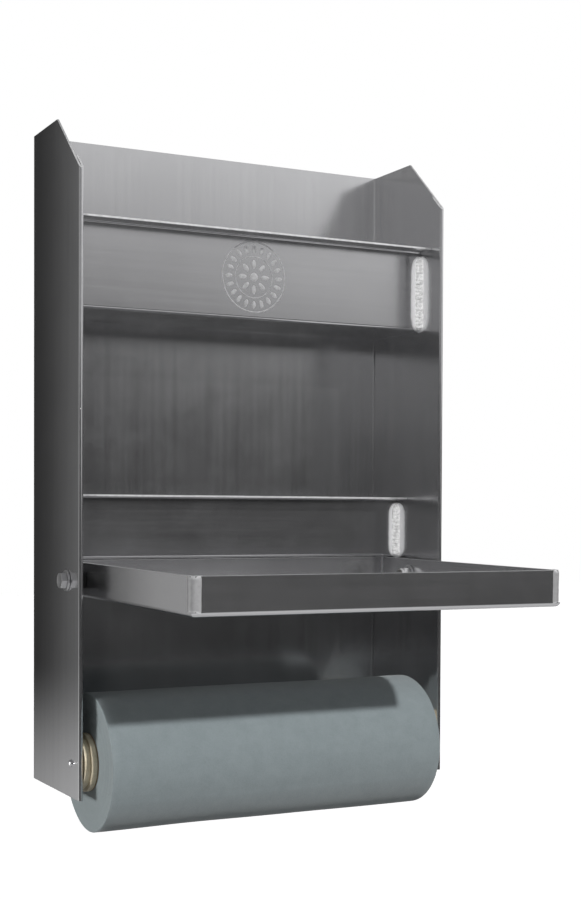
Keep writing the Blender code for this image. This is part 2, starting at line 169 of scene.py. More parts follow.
# The studio that the metal reflects, to the left, ahead and to the right of the cabinet's front:
# (degrees above the horizon, brightness)
STUDIO_BELOW = ((-90, 0.45), (-30, 0.60), (-20, 0.42), (-13, 0.03))
LEFT_STUDIO = STUDIO_BELOW + (
    (-6, 0.02), (0, 0.04), (3.5, 0.03), (5, 0.05), (7, 0.22), (8.5, 0.60), (10.3, 0.50), (11.5, 0.13),
    (14, 0.18), (18, 0.40), (25, 0.4), (40, 0.3), (90, 0.15),
)
MIDDLE_STUDIO = STUDIO_BELOW + (
    (-8, 0.0), (-5, 0.06), (-2, 0.03), (0, 0.02), (3, 0.005), (5, 0.02), (6.5, 0.06), (8, 0.19),
    (10, 0.26), (12, 0.42), (14, 0.66), (18, 0.9), (25, 0.5), (40, 0.3), (90, 0.15),
)
RIGHT_STUDIO = STUDIO_BELOW + (
    (-8, 0.005), (-5, 0.03), (-2, 0.03), (3.5, 0.01), (4.8, 0.03), (6.5, 0.13), (7.5, 0.48), (10, 0.55),
    (11.5, 0.50), (13, 0.70), (14, 0.90), (20, 0.9), (28, 0.5), (90, 0.15),
)
# What the camera sees behind the object, and the soft light from above and below the horizon
WORLD_LEVELS = (1.0, 0.24, 0.26)
# Where one part of the studio gives way to the next, in degrees to the right of straight ahead
LEFT_TO_MIDDLE = (-12, 12)
MIDDLE_TO_RIGHT = (22.5, 29.5)

FLOOR_DROP = 0.35
FLOOR_REACH = 9.0
CARD_REACH = 1.2
CARD_HALF_HEIGHT = 0.75

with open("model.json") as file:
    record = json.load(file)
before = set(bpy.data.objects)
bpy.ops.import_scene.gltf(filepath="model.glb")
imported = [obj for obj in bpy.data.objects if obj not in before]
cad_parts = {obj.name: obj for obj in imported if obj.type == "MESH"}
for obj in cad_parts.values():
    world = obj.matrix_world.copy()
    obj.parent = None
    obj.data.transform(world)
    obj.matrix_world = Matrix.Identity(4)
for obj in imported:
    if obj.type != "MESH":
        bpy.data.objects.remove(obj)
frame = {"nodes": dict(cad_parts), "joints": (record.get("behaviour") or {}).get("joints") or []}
cad_low, cad_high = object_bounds()
joint_places = {joint["name"]: joint.get("pos_m") for joint in frame["joints"]}
pivot = Vector(joint_places["tray_fold"])
rod = Vector(joint_places["roll_spin"])
shell_low, shell_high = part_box("cabinet_shell")
half_width = shell_high.x
front_edge = shell_low.y
bottom_edge, top_edge = shell_low.z, shell_high.z
tray_matrix = Matrix.Translation(pivot) @ Matrix.Rotation(TRAY_DROOP, 4, "X")
bolt_matrix = Matrix.Translation((0, pivot.y, pivot.z))
rod_axis = (0, rod.y, rod.z)


# ---------------- mesh helpers


def prism(corners, offset):
    """A bmesh with a flat outline of 3-D corners pushed out by offset."""
    made = bmesh.new()
    base = [made.verts.new(corner) for corner in corners]
    top = [made.verts.new(Vector(corner) + Vector(offset)) for corner in corners]
    made.faces.new(base)
    made.faces.new(list(reversed(top)))
    count = len(base)
    for index in range(count):
        after = (index + 1) % count
        made.faces.new((base[index], base[after], top[after], top[index]))
    return made


def rectangle(left, bottom, right, top):
    return [(left, bottom), (right, bottom), (right, top), (left, top)]


def box(low, high):
    corners = [(x, y, low[2]) for x, y in rectangle(low[0], low[1], high[0], high[1])]
    return prism(corners, (0, 0, high[2] - low[2]))


def bridge(made, near, far):
    """Faces between two rings, either of which may be a single point."""
    count = max(len(near), len(far))
    for index in range(count):
        after = (index + 1) % count
        if len(near) == 1:
            made.faces.new((near[0], far[index], far[after]))
        elif len(far) == 1:
            made.faces.new((near[index], near[after], far[0]))
        else:
            made.faces.new((near[index], near[after], far[after], far[index]))


def ring_mesh(rings, closing=False):
    """A bmesh with faces between neighbouring rings; closing also joins the last ring to the first."""
    made = bmesh.new()
    verts = [[made.verts.new(point) for point in ring] for ring in rings]
    following = verts[1:] + verts[:1] if closing else verts[1:]
    for near, far in zip(verts, following):
        bridge(made, near, far)
    if not closing and len(verts[0]) > 1:
        made.faces.new(verts[0])
        made.faces.new(list(reversed(verts[-1])))
    return made


def quarter_turn(steps):
    """Angles from nothing to a right angle, with both included."""
    return [math.pi / 2 * step / steps for step in range(steps + 1)]


def turned_ring(along, segments, radius_at):
    """Points round the X axis; radius_at gives the radius for an angle."""
    points = []
    for index in range(segments):
        angle = math.tau * index / segments
        radius = radius_at(angle)
        points.append(Vector((along, radius * math.cos(angle), radius * math.sin(angle))))
    return points


def circle_ring(along, radius, segments):
    """A round ring, or a single point where the radius is nothing."""
    if radius == 0:
        return [Vector((along, 0, 0))]
    return turned_ring(along, segments, lambda angle: radius)


def lathe(profile, segments, centre=(0, 0, 0)):
    """Turns (along, radius) pairs about an X axis. A profile that ends on the axis is closed there."""
    rings = [circle_ring(along, radius, segments) for along, radius in profile]
    made = ring_mesh(rings, closing=profile[0][1] != 0)
    bmesh.ops.translate(made, verts=made.verts, vec=centre)
    return made


def hole_cutter(radius, centre=(0, 0, 0)):
    """A rod along X that is long enough to go through everything."""
    profile = [(-CUTTER_REACH, 0), (-CUTTER_REACH, radius), (CUTTER_REACH, radius), (CUTTER_REACH, 0)]
    return lathe(profile, 32, centre)


def fillet(points, radius, steps=BEND_STEPS, closed=False):
    """A 2-D path whose corners are replaced by arcs, made smaller where a side is short."""
    points = [Vector(point) for point in points]
    count = len(points)
    path = []
    for index, corner in enumerate(points):
        if not closed and index in (0, count - 1):
            path.append(corner)
            continue
        before, after = points[index - 1], points[(index + 1) % count]
        inward = (before - corner).normalized()
        outward = (after - corner).normalized()
        half_angle = inward.angle(outward) / 2
        limit = 0.5 * min((before - corner).length, (after - corner).length)
        reach = min(radius / math.tan(half_angle), limit)
        centre = corner + (inward + outward).normalized() * reach / math.cos(half_angle)
        start = corner + inward * reach - centre
        end = corner + outward * reach - centre
        turn = start.angle_signed(end)
        for step in range(steps + 1):
            path.append(centre + Matrix.Rotation(-turn * step / steps, 2) @ start)
    kept = [path[0]]
    for point in path[1:]:
        if (point - kept[-1]).length > 1e-6:
            kept.append(point)
    return kept


def thicken(path):
    """The outline of a sheet whose mid-line is this path."""
    left, right = [], []
    last = len(path) - 1
    for index, point in enumerate(path):
        arriving = (point - path[index - 1]).normalized() if index else None
        leaving = (path[index + 1] - point).normalized() if index < last else None
        arriving = arriving or leaving
        leaving = leaving or arriving
        along = (arriving + leaving).normalized()
        side = Vector((-along.y, along.x)) * (SHEET / 2) / along.dot(leaving)
        left.append(point + side)
        right.append(point - side)
    return left + list(reversed(right))


def flat_face(corners):
    made = bmesh.new()
    made.faces.new([made.verts.new(corner) for corner in corners])
    return made


def outer_and_inner(node, side):
    """Where a CAD node ends along X, away from the middle of the cabinet and towards it."""
    low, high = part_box(node)
    return (high.x, low.x) if side > 0 else (low.x, high.x)


def add_object(name, data):
    """A new object in the scene with this mesh, lamp or camera."""
    obj = bpy.data.objects.new(name, data)
    bpy.context.scene.collection.objects.link(obj)
    return obj


def to_object(name, mesh_data, material=None, matrix=None):
    bmesh.ops.recalc_face_normals(mesh_data, faces=mesh_data.faces)
    mesh = bpy.data.meshes.new(name)
    mesh_data.to_mesh(mesh)
    mesh_data.free()
    mesh.shade_smooth()
    obj = add_object(name, mesh)
    if material:
        mesh.materials.append(material)
    if matrix:
        obj.matrix_world = matrix
    return obj


def piece(name, mesh_data, material, body, stands_for=(), matrix=None, sharp=35):
    """A finished piece that rides on a body and stands for CAD nodes."""
    obj = to_object(name, mesh_data, material, matrix)
    obj.data.set_sharp_from_angle(angle=math.radians(sharp))
    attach(obj, body)
    if stands_for:
        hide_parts(*stands_for)
    return obj


def cut(obj, cutter):
    """Cuts a helper's shape out of an object for good, and removes the helper."""
    change = obj.modifiers.new("cut", "BOOLEAN")
    change.solver = "EXACT"
    change.object = cutter
    bpy.context.view_layer.update()
    evaluated = obj.evaluated_get(bpy.context.evaluated_depsgraph_get())
    mesh = bpy.data.meshes.new_from_object(evaluated)
    obj.modifiers.clear()
    obj.data = mesh
    bpy.data.objects.remove(cutter, do_unlink=True)


def mark_faces(obj, material, chosen):
    """Gives the chosen faces a second material."""
    obj.data.materials.append(material)
    for face in obj.data.polygons:
        if chosen(face):
            face.material_index = 1


def soften_edges(obj):
    """Rounds a sheet's cut edges, with its broad faces kept flat in the shading."""
    bevel = obj.modifiers.new("edges", "BEVEL")
    bevel.width = EDGE_ROUND
    bevel.segments = 2
    bevel.limit_method = "ANGLE"
    bevel.angle_limit = math.radians(50)
    bevel.use_clamp_overlap = True
    obj.data.set_sharp_from_angle(angle=math.radians(180))
    obj.modifiers.new("normals", "WEIGHTED_NORMAL").weight = 80


# ---------------- materials


class Nodes:
    """A node tree, with short calls for the nodes that are used most."""

    def __init__(self, tree):
        self.tree = tree
        tree.nodes.clear()

    def put(self, socket, value):
        """Links a node's output to a socket, or sets the socket to a plain value."""
        if isinstance(value, bpy.types.NodeSocket):
            self.tree.links.new(value, socket)
        elif isinstance(value, tuple) and socket.type == "RGBA":
            socket.default_value = (*value, 1.0)
        else:
            socket.default_value = value

    def add(self, kind, *values, **settings):
        """A new node with these settings, and with values or links for its first inputs."""
        node = self.tree.nodes.new("ShaderNode" + kind)
        for name, setting in settings.items():
            setattr(node, name, setting)
        for socket, value in zip(node.inputs, values):
            self.put(socket, value)
        return node

    def math(self, operation, *values):
        return self.add("Math", *values, operation=operation).outputs[0]

    def times(self, first, second):
        return self.math("MULTIPLY", first, second)

    def total(self, *values):
        result = values[0]
        for value in values[1:]:
            result = self.math("ADD", result, value)
        return result

    def spread(self, value, low, high, low_out=0.0, high_out=1.0, smooth=False):
        """Maps low..high to low_out..high_out, held at the ends."""
        easing = "SMOOTHSTEP" if smooth else "LINEAR"
        node = self.add("MapRange", value, low, high, low_out, high_out, interpolation_type=easing)
        return node.outputs[0]

    def blend(self, share, first, second):
        """Mixes two colours, which the mix node takes in its inputs 6 and 7."""
        node = self.add("Mix", share, data_type="RGBA")
        self.put(node.inputs[6], first)
        self.put(node.inputs[7], second)
        return node.outputs[2]


class Shader(Nodes):
    """A material whose patterns follow the object's own coordinates."""

    def __init__(self, name):
        self.material = bpy.data.materials.new(name)
        self.material.use_nodes = True
        super().__init__(self.material.node_tree)
        self.surface = self.add("BsdfPrincipled")
        self.add("OutputMaterial", self.surface.outputs[0])
        self.place = self.add("TexCoord").outputs["Object"]

    def complete(self, *heights, **values):
        """Sets the surface, bends it by the sum of the heights in metres, and gives the material."""
        for name, value in values.items():
            self.put(self.surface.inputs[name.replace("_", " ")], value)
        if heights:
            node = self.add("Bump")
            node.inputs["Strength"].default_value = 1.0
            node.inputs["Distance"].default_value = 1.0
            self.put(node.inputs["Height"], self.total(*heights))
            self.put(self.surface.inputs["Normal"], node.outputs[0])
        return self.material

    def axes(self):
        return self.add("SeparateXYZ", self.place).outputs

    def stretched(self, scale):
        """Object coordinates scaled per axis, in repeats per metre."""
        return self.add("VectorMath", self.place, scale, operation="MULTIPLY").outputs[0]

    def noise(self, scale, detail=2.0, rough=0.5, warp=0.0):
        per_axis = scale if isinstance(scale, tuple) else (scale, scale, scale)
        node = self.add("TexNoise", self.stretched(per_axis))
        for name, value in (("Scale", 1.0), ("Detail", detail), ("Roughness", rough), ("Distortion", warp)):
            node.inputs[name].default_value = value
        return node.outputs["Fac"]


def etched_zones(shader, zones):
    """How frosted a point is: 1 beside each vertical weld, fading out at an oval edge.

    A zone is (y of the plate's face, lowest z, highest z, reach across the plate, reach along the side).
    """
    x, y, z = shader.axes()
    from_side = shader.math("SUBTRACT", half_width - SHEET, shader.math("ABSOLUTE", x))
    ragged = shader.noise(260.0, detail=3.0)
    frosted = 0.0
    for face, low, high, across, along in zones:
        from_plate = shader.math("SUBTRACT", y, face)
        from_middle = shader.math("SUBTRACT", z, (low + high) / 2)
        parts = [shader.times(ragged, 0.25)]
        for distance, reach, power in (
            (from_side, across, 2.0), (from_plate, along, 2.0), (from_middle, (high - low) / 2, 6.0)
        ):
            share = shader.math("ABSOLUTE", shader.math("DIVIDE", distance, reach))
            parts.append(shader.math("POWER", share, power))
        inside = shader.spread(shader.total(*parts), 0.80, 1.35, 1.0, 0.0, smooth=True)
        frosted = shader.math("MAXIMUM", frosted, inside)
    indoors = shader.math("GREATER_THAN", from_side, -SHEET / 2)
    return shader.times(frosted, indoors)


def along_and_across(grain_axis, along, across):
    """Per-axis scales, with one value along the grain and another across it."""
    return tuple(along if axis == grain_axis else across for axis in "xyz")


def sheet_aluminium(name, grain_axis, clean_metal, zones=()):
    """Bare mill-finish sheet: fine rolling lines, broad waves, smudges and frosted zones beside welds."""
    shader = Shader(name)
    grain = shader.noise(along_and_across(grain_axis, 14.0, 2600.0))
    streaks = shader.noise(along_and_across(grain_axis, 5.0, 220.0), detail=3.0)
    waves = shader.noise(9.0, detail=1.0)
    smudges = shader.noise(26.0, detail=5.0, rough=0.6, warp=0.6)
    speckle = shader.noise(1500.0)
    rough = shader.total(
        shader.spread(smudges, 0.3, 0.75, 0.18, 0.23),
        shader.spread(streaks, 0.3, 0.7, -0.008, 0.012),
    )
    colour = shader.blend(shader.spread(streaks, 0.25, 0.75), (0.735, 0.735, 0.745), (0.775, 0.775, 0.785))
    heights = [shader.times(grain, 0.9e-6), shader.times(streaks, 2.5e-6), shader.times(waves, 3.5e-4)]
    metallic = clean_metal
    if zones:
        from_middle = shader.math("ABSOLUTE", shader.axes()[0])
        outdoors = shader.math("GREATER_THAN", from_middle, half_width - SHEET / 2)
        metallic = shader.spread(outdoors, 0.0, 1.0, clean_metal, 1.0)
        frost = etched_zones(shader, zones)
        metallic = shader.math("SUBTRACT", metallic, shader.times(frost, 0.58))
        rough = shader.math("ADD", rough, shader.times(frost, 0.25))
        colour = shader.blend(frost, colour, (0.93, 0.93, 0.94))
        heights.append(shader.times(shader.times(speckle, frost), 4.0e-5))
    return shader.complete(*heights, Base_Color=colour, Metallic=metallic, Roughness=rough)


def frosted_aluminium(name, roughness, tint, metallic, soot_level):
    """Weld metal, sheared edges and stamped relief: bright, with a fine cast grain."""
    shader = Shader(name)
    grain = shader.noise(1800.0, detail=4.0)
    soot = shader.noise(330.0, detail=3.0)
    sooty = tuple(soot_level * channel for channel in tint)
    colour = shader.blend(shader.spread(soot, 0.35, 0.6), sooty, tint)
    rough = shader.spread(grain, 0.3, 0.7, roughness - 0.06, roughness + 0.08)
    return shader.complete(shader.times(grain, 1.2e-5), Base_Color=colour, Metallic=metallic, Roughness=rough)


def plated_steel(name, tint, roughness, metallic=1.0):
    shader = Shader(name)
    cloud = shader.noise(420.0, detail=3.0)
    pits = shader.noise(2600.0, detail=3.0)
    colour = shader.blend(cloud, tuple(0.8 * channel for channel in tint), tint)
    rough = shader.spread(cloud, 0.3, 0.7, roughness, roughness + 0.14)
    return shader.complete(shader.times(pits, 8.0e-6), Base_Color=colour, Metallic=metallic, Roughness=rough)


def moulded_plastic(name, dark, light, roughness, grime):
    """Moulded plastic with faint flow marks, a fine orange-peel skin and handling grime."""
    shader = Shader(name)
    flow = shader.noise((60.0, 240.0, 240.0), detail=3.0, warp=0.5)
    skin = shader.noise(1400.0)
    dirt = shader.noise(180.0, detail=5.0, rough=0.65)
    colour = shader.blend(shader.spread(flow, 0.3, 0.7), dark, light)
    grimy = tuple(0.4 * channel for channel in dark)
    colour = shader.blend(shader.spread(dirt, 0.55, 0.75, 0.0, grime), colour, grimy)
    rough = shader.spread(dirt, 0.3, 0.7, roughness, roughness + 0.15)
    return shader.complete(shader.times(skin, 1.4e-5), Base_Color=colour, Roughness=rough)


def cardboard():
    """Wound kraft board: fibres, and the seam of its spiral wrap."""
    shader = Shader("kraft_board")
    fibres = shader.noise((300.0, 1600.0, 1600.0), detail=4.0)
    blotch = shader.noise(120.0, detail=3.0)
    wave = shader.add("TexWave", shader.stretched((12.0, 4.0, 4.0)), 1.0)
    seam = shader.spread(wave.outputs["Fac"], 0.0, 0.06, 1.0, 0.0)
    colour = shader.blend(shader.spread(fibres, 0.3, 0.7), (0.30, 0.20, 0.115), (0.46, 0.33, 0.20))
    colour = shader.blend(shader.times(blotch, 0.35), colour, (0.24, 0.16, 0.09))
    heights = [shader.times(fibres, 6.0e-5), shader.times(seam, -1.5e-4)]
    return shader.complete(*heights, Base_Color=colour, Roughness=0.92)


def wound_layers(shader):
    """Noise that depends only on the distance from the roll's axis."""
    _, y, z = shader.axes()
    offsets = (shader.math("SUBTRACT", y, rod.y), shader.math("SUBTRACT", z, rod.z))
    squares = shader.total(*[shader.math("POWER", offset, 2.0) for offset in offsets])
    layer = shader.add("TexNoise", noise_dimensions="1D")
    shader.put(layer.inputs["W"], shader.times(shader.math("SQRT", squares), 2600.0))
    layer.inputs["Detail"].default_value = 3.0
    return layer.outputs["Fac"]


def towel_paper(name, end_face):
    """Heavy blue shop-towel paper: matt, with a pulp mottle, short fibres and a faint crepe."""
    shader = Shader(name)
    mottle = shader.noise(95.0, detail=4.0, rough=0.6)
    pulp = shader.noise(900.0, detail=4.0, rough=0.7)
    crepe = shader.noise((160.0, 1900.0, 1900.0), detail=3.0)
    flecks = shader.noise(2300.0, detail=1.0)
    patches = shader.spread(mottle, 0.3, 0.7)
    colour = shader.blend(patches, (0.172, 0.203, 0.212), (0.198, 0.231, 0.240))
    colour = shader.blend(shader.spread(pulp, 0.35, 0.75, 0.0, 0.45), colour, (0.235, 0.270, 0.278))
    colour = shader.blend(shader.spread(flecks, 0.70, 0.78, 0.0, 0.5), colour, (0.10, 0.13, 0.16))
    heights = [shader.times(pulp, 1.1e-4), shader.times(crepe, 7.0e-5), shader.times(mottle, 2.5e-4)]
    if end_face:
        edges = wound_layers(shader)
        colour = shader.blend(shader.spread(edges, 0.30, 0.60), colour, (0.30, 0.35, 0.36))
        heights.append(shader.times(edges, 2.2e-4))
    return shader.complete(
        *heights,
        Base_Color=colour, Roughness=0.95, Sheen_Weight=0.25, Sheen_Roughness=0.6, Specular_IOR_Level=0.2,
    )


# ---------------- cabinet


def shell_outline():
    """The shell seen from above: back, two sides and an open hem at each front edge."""
    half = half_width - SHEET / 2
    hem = half - SHEET - HEM_GAP
    front = front_edge + SHEET / 2
    back = -SHEET / 2
    hem_points = [(-hem, front_edge + HEM_DEPTH), (-hem, front), (-half, front), (-half, back / 2)]
    hem_path = fillet(hem_points, (half - hem) / 2)[:-1]
    turn = hem_path[-1]
    corners = fillet([turn, (-half, back), (half, back), (half, turn.y)], BEND_INNER + SHEET / 2)
    mirrored = [Vector((-point.x, point.y)) for point in reversed(hem_path)]
    return thicken(hem_path + corners[1:-1] + mirrored)


def build_shell(material, edge_material):
    """Back and sides in one bent sheet, with an open hem at each front edge and sloping front tips."""
    made = prism([(x, y, bottom_edge) for x, y in shell_outline()], (0, 0, top_edge - bottom_edge))
    shell = piece("bent_shell", made, material, "cabinet", ["cabinet_shell"])
    cut(shell, to_object("slope_helper", slope_wedge()))
    for place, radius in ((pivot, BOLT_HOLE_RADIUS), (rod, PIN_HOLE_RADIUS)):
        cut(shell, to_object("hole_helper", hole_cutter(radius, (0, place.y, place.z))))
    mark_faces(shell, edge_material, lambda face: abs(face.normal.z) > 0.3)
    soften_edges(shell)


def slope_wedge():
    """What is cut away above the sloping front tips of both sides."""
    margin = 20 * MM
    rise = TIP_BELOW_TOP / PEAK_FROM_FRONT * margin
    tip = top_edge - TIP_BELOW_TOP
    corners = [
        (-CUTTER_REACH, front_edge + PEAK_FROM_FRONT + margin, top_edge + rise),
        (-CUTTER_REACH, front_edge - margin, tip - rise),
        (-CUTTER_REACH, front_edge - margin, top_edge + rise),
    ]
    return prism(corners, (2 * CUTTER_REACH, 0, 0))


def build_bin(node, material, edge_material):
    """One bent sheet: a lip that points forward, a front plate and a floor."""
    low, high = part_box(node)
    mid = SHEET / 2
    points = [
        (low.y, high.z - mid),
        (low.y + LIP_DEPTH + mid, high.z - mid),
        (low.y + LIP_DEPTH + mid, low.z + mid),
        (high.y, low.z + mid),
    ]
    outline = thicken(fillet(points, BIN_BEND_INNER + mid))
    made = prism([(low.x, y, z) for y, z in outline], (high.x - low.x, 0, 0))
    sheet = piece("bent_" + node, made, material, "cabinet", [node])
    mark_faces(sheet, edge_material, lambda face: face.center.y < low.y + SHEET / 4)
    soften_edges(sheet)


def bead_zones():
    """The frosted zone beside each bin's welds, in the form that etched_zones takes."""
    zones = []
    for node, across in zip(BINS, (9.2 * MM, 8.2 * MM)):
        low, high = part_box(node)
        zones.append((low.y + LIP_DEPTH, low.z - 1 * MM, high.z - SHEET - 3 * MM, across, 12.5 * MM))
    return zones


def bead_reach(angle, along, lumps):
    """How far a bead stands out from its corner: a crown with a saw-tooth ripple and uneven lumps."""
    crest = math.sin(2 * angle)
    phase = along / BEAD_PITCH + RIPPLE_CURVE * crest
    ripple = RIPPLE_HEIGHT * (1 - phase % 1) ** 1.6
    lump = lumps[min(int(phase), len(lumps) - 1)]
    return (BEAD_LEG + BEAD_SINK) * (0.80 + 0.10 * math.cos(4 * angle) + crest * (ripple + lump))


def build_bead(bin_name, side_name, side, material):
    """A rippled fillet weld up the corner between a bin's front plate and a side panel."""
    node = f"{bin_name}_weld_{side_name}"
    name = "rippled_" + node
    chance = random.Random(name)
    low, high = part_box(node)
    foot, head = low.z - BEAD_BELOW, high.z - BEAD_SHORT
    face_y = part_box(bin_name)[0].y + LIP_DEPTH
    corner = Vector((side * (half_width - SHEET + BEAD_SINK), face_y + BEAD_SINK, foot))
    length = head - foot
    steps = int(length / (BEAD_PITCH / BEAD_STEPS_PER_RIPPLE))
    lump_count = steps // BEAD_STEPS_PER_RIPPLE + 2
    lumps = [chance.uniform(-LUMP_HEIGHT, LUMP_HEIGHT) for _ in range(lump_count)]
    rings = []
    for step in range(steps + 1):
        along = length * step / steps
        end_share = max(0, min(along / BEAD_FOOT_TAPER, (length - along) / BEAD_HEAD_TAPER, 1))
        taper = 0.05 + 0.95 * math.sqrt(1 - (1 - end_share) ** 2)
        ring = [corner + Vector((0, 0, along))]
        for angle in quarter_turn(12):
            reach = taper * bead_reach(angle, along, lumps)
            offset = Vector((-side * reach * math.cos(angle), -reach * math.sin(angle), along))
            ring.append(corner + offset)
        rings.append(ring)
    piece(name, ring_mesh(rings), material, "cabinet", [node], sharp=60)


# ---------------- roundel


def rib(points, width):
    """A closed raised rib that follows 2-D points on the plate; it rises towards -Y."""
    rings = []
    for index, point in enumerate(points):
        before, after = points[index - 1], points[(index + 1) % len(points)]
        along = (after - before).normalized()
        side = Vector((-along.y, along.x)) * width / 2
        ring = []
        for share, lift in ((-1.0, 0.0), (-0.6, 0.8), (0.0, 1.0), (0.6, 0.8), (1.0, 0.0)):
            place = point + side * share
            ring.append((place.x, -ROUNDEL_RELIEF * lift, place.y))
        rings.append(ring)
    return ring_mesh(rings, closing=True)


def oval(length, width, count):
    points = []
    for index in range(count):
        angle = math.tau * index / count
        points.append(Vector((length / 2 * math.cos(angle), width / 2 * math.sin(angle))))
    return points


def circle(radius, count):
    return oval(2 * radius, 2 * radius, count)


def merge_into(target, source, matrix=None):
    """Adds one bmesh to another."""
    holder = bpy.data.meshes.new("holder")
    source.to_mesh(holder)
    source.free()
    if matrix:
        holder.transform(matrix)
    target.from_mesh(holder)
    bpy.data.meshes.remove(holder)


def boss(points):
    """A low raised pad with a flat top and sloping sides; it rises towards -Y."""
    made = bmesh.new()
    middle = sum(points, Vector((0, 0))) / len(points)
    rings = []
    for share, lift in ((1.0, 0.0), (0.8, 0.85), (0.55, 1.0)):
        places = [middle + (point - middle) * share for point in points]
        rings.append([made.verts.new((place.x, -ROUNDEL_RELIEF * lift, place.y)) for place in places])
    for near, far in zip(rings, rings[1:]):
        bridge(made, near, far)
    made.faces.new(rings[-1])
    return made


def build_roundel(material):
    """A plain stamped roundel on the top plate: two rings, a border of pads and a rosette."""
    low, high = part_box("top_bin")
    made = bmesh.new()
    for radius, width in ((28.0, 1.1), (16.6, 0.9)):
        merge_into(made, rib(circle(radius * MM, 96), width * MM))
    merge_into(made, boss(circle(3.6 * MM, 32)))
    for count, radius, length, width in ((20, 22.3, 6.6, 3.6), (8, 10.2, 7.6, 3.8)):
        outwards = Matrix.Translation((radius * MM, 0, 0))
        for index in range(count):
            turn = Matrix.Rotation(math.tau * index / count, 4, "Y")
            merge_into(made, boss(oval(length * MM, width * MM, 20)), turn @ outwards)
    centre = Vector((0, low.y + LIP_DEPTH + 0.05 * MM, (low.z + high.z) / 2))
    piece("stamped_roundel", made, material, "cabinet", matrix=Matrix.Translation(centre), sharp=80)


# ---------------- tray


def tub(half, front, back, low, high, radius):
    """A box whose four bottom edges are rounded."""
    made = box((-half, front, low), (half, back, high))
    low_edges = [edge for edge in made.edges if all(vert.co.z < low + 1e-6 for vert in edge.verts)]
    bmesh.ops.bevel(made, geom=low_edges, offset=radius, segments=5, profile=0.5, affect="EDGES")
    return made


def tray_corners():
    """(name, x, y, x step inwards, y step inwards) for each corner of the tray, about its pivot."""
    corners = []
    for end_name, y, y_inward in (("front", TRAY_FRONT_FROM_PIVOT, 1), ("back", TRAY_BACK_FROM_PIVOT, -1)):
        for side_name, side in SIDES:
            corners.append((f"{end_name}_{side_name}", side * TRAY_HALF_WIDTH, y, -side, y_inward))
    return corners


def build_tray(material, edge_material):
    low, high = -TRAY_WALL_HEIGHT / 2, TRAY_WALL_HEIGHT / 2
    front, back = TRAY_FRONT_FROM_PIVOT, TRAY_BACK_FROM_PIVOT
    made = tub(TRAY_HALF_WIDTH, front, back, low, high, BEND_INNER + SHEET)
    tray = piece("bent_tray", made, material, "tray", ["tray_pan"], matrix=tray_matrix)
    hollow = tub(
        TRAY_HALF_WIDTH - SHEET, front + SHEET, back - SHEET, low + SHEET, high + 5 * SHEET, BEND_INNER
    )
    cut(tray, to_object("hollow_helper", hollow, matrix=tray_matrix))
    cut(tray, to_object("hole_helper", hole_cutter(BOLT_HOLE_RADIUS), matrix=tray_matrix))
    for _, x, y, _, _ in tray_corners():
        reach = Vector((CORNER_NOTCH, CORNER_NOTCH, 0))
        notch = box(Vector((x, y, low + BEND_INNER + SHEET)) - reach, Vector((x, y, 2 * high)) + reach)
        cut(tray, to_object("notch_helper", notch, matrix=tray_matrix))
    mark_faces(tray, edge_material, lambda face: face.center.z > high - SHEET / 4)
    soften_edges(tray)


def corner_weld_section(proud):
    """The weld's outline as (inwards across, inwards along) from the corner of the outer wall faces."""
    centre = WELD_ROUND - proud
    outline = [(WELD_SPAN, 0.1 * MM), (WELD_SPAN - WELD_FEATHER, -0.5 * proud)]
    for angle in quarter_turn(8):
        outline.append((centre - WELD_ROUND * math.sin(angle), centre - WELD_ROUND * math.cos(angle)))
    outline += [(-0.5 * proud, WELD_SPAN - WELD_FEATHER), (0.1 * MM, WELD_SPAN)]
    inner = SHEET - WELD_SUNK
    return outline + [(inner, WELD_SPAN), (inner, inner), (WELD_SPAN, inner)]


def build_corner_weld(name, x, y, x_inward, y_inward, material):
    """A dressed weld that fills the open corner between two tray walls, a little proud and uneven."""
    chance = random.Random(name)
    low = -TRAY_WALL_HEIGHT / 2 + BEND_INNER + SHEET - 0.6 * MM
    high = TRAY_WALL_HEIGHT / 2 + 0.25 * MM
    swell = [chance.uniform(-1, 1) for _ in range(9)]
    rings = []
    for step in range(WELD_STEPS + 1):
        along = low + (high - low) * step / WELD_STEPS
        share = step / WELD_STEPS * (len(swell) - 1)
        index = min(int(share), len(swell) - 2)
        ease = (1 - math.cos(math.pi * (share - index))) / 2
        uneven = swell[index] * (1 - ease) + swell[index + 1] * ease
        ends = math.sqrt(min(step, WELD_STEPS - step, 4) / 4)
        proud = (WELD_PROUD + WELD_UNEVEN * uneven) * ends - WELD_SUNK * (1 - ends)
        ring = []
        for across, inwards in corner_weld_section(proud):
            ring.append(Vector((x + x_inward * across, y + y_inward * inwards, along)))
        rings.append(ring)
    weld = ring_mesh(rings)
    piece("dressed_weld_" + name, weld, material, "tray", ["tray_weld_" + name], tray_matrix, sharp=45)


# ---------------- hardware


def ring_profile(start, end, inner, outer, edge):
    """The rounded cross-section of a ring."""
    corners = [(start, inner), (start, outer), (end, outer), (end, inner)]
    return fillet(corners, edge, 3, closed=True)


def build_ring(name, node, inner, edge, material):
    low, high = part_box(node)
    profile = ring_profile(low.x, high.x, inner, (high.z - low.z) / 2, edge)
    centre = (0, (low.y + high.y) / 2, (low.z + high.z) / 2)
    piece(name, lathe(profile, 64, centre), material, "cabinet", [node])


def hex_rings(sections):
    """Rings along X for a hexagon; a section is (x, largest radius), which rounds the corners off."""
    rings = []
    for x, most in sections:
        rings.append(turned_ring(x, HEX_SEGMENTS, lambda angle: min(hexagon_radius(angle), most)))
    return rings


def hexagon_radius(angle):
    return ACROSS_FLATS / 2 / math.cos(angle % (math.pi / 3) - math.pi / 6)


